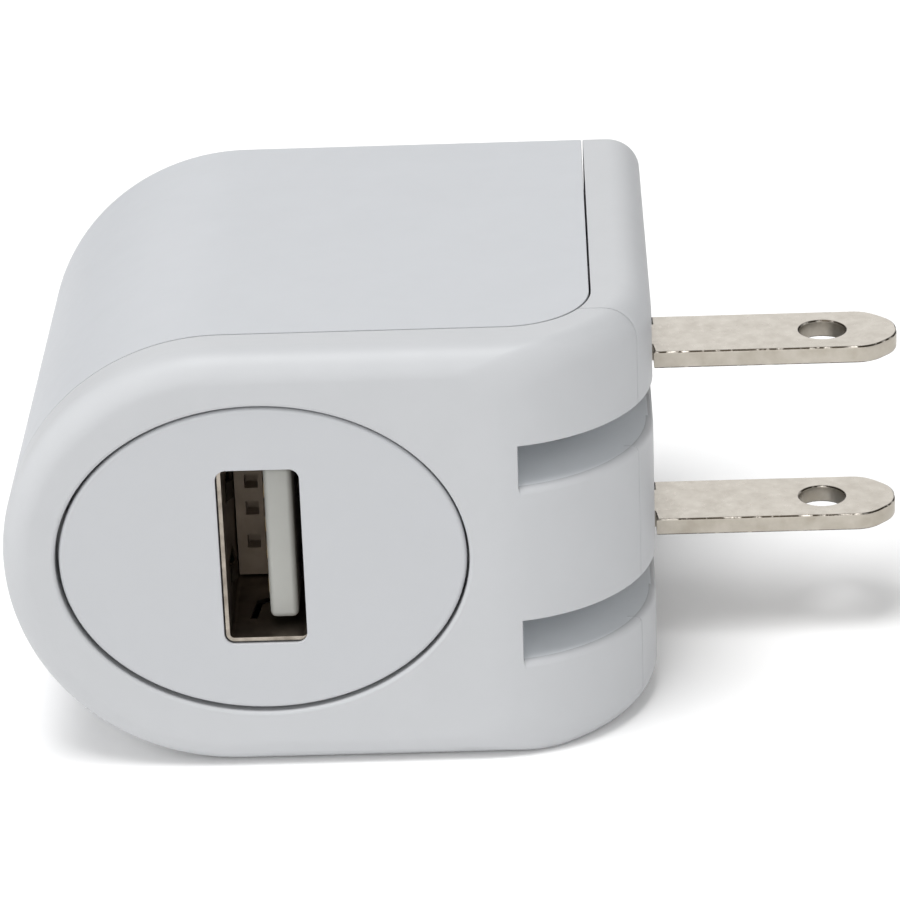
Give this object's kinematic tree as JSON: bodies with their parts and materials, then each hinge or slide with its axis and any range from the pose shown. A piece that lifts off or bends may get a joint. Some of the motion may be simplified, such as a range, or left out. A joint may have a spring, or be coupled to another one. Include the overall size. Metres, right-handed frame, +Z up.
{
  "type": "usb wall charger",
  "caption": "Compact mains charger with a rounded end, an oval bezel round a USB-A socket, and flat blades that fold out of slots in the opposite end.",
  "frame": {"origin": "on the resting surface, under the middle of the overall box with the blades folded out", "axes": "+X towards the mains blades, -Y towards the USB face, +Z up with the charger lying on its flat side"},
  "size_m": [0.0604, 0.0388, 0.03],
  "materials": {
    "housing_plastic": "satin white moulding",
    "rear_plastic": "satin white moulding, slightly cooler",
    "bezel_plastic": "polished white moulding",
    "socket_steel": "plated sheet",
    "insulator": "ivory moulding",
    "contact_metal": "plated spring bronze",
    "blade_nickel": "nickel plate, mottled",
    "black_moulding": "black moulding",
    "wire_insulation": "white insulation",
    "board_laminate": "solder mask on laminate",
    "ferrite": "sintered",
    "winding_tape": "yellow film tape over the winding",
    "capacitor_sleeve": "dark shrunk sleeve",
    "ceramic_coat": "dipped coat",
    "insulating_film": "insulating sheet"
  },
  "bodies": {
    "housing": {"front_cover": "housing_plastic", "rear_cover": "rear_plastic", "plug_end_cover": "housing_plastic", "port_bezel": "bezel_plastic", "usb_shell": "socket_steel", "usb_tongue": "insulator", "usb_contact_1": "contact_metal", "usb_contact_2": "contact_metal", "usb_contact_3": "contact_metal", "usb_contact_4": "contact_metal", "carrier_retainer": "black_moulding", "detent_spring": "contact_metal", "upper_blade_contact": "contact_metal", "lower_blade_contact": "contact_metal", "line_wire": "wire_insulation", "neutral_wire": "wire_insulation", "main_board": "board_laminate", "transformer_core_inner": "ferrite", "transformer_core_outer": "ferrite", "transformer_bobbin": "black_moulding", "transformer_winding": "winding_tape", "mains_capacitor_1": "capacitor_sleeve", "mains_capacitor_2": "capacitor_sleeve", "output_capacitor": "capacitor_sleeve", "bridge_rectifier": "black_moulding", "controller_chip": "black_moulding", "output_diode": "black_moulding", "y_capacitor": "ceramic_coat", "fusible_resistor": "ceramic_coat", "filter_inductor": "ferrite", "insulation_sheet": "insulating_film"},
    "blades": {"blade_carrier": "housing_plastic", "upper_blade": "blade_nickel", "lower_blade": "blade_nickel"}
  },
  "joints": [
    {"name": "blade_fold", "type": "hinge", "parent": "housing", "child": "blades", "pos_m": [0.00985, 0.0006, 0.0153], "axis": [0, 0, 1], "range_deg": [-90, 0]}
  ]
}
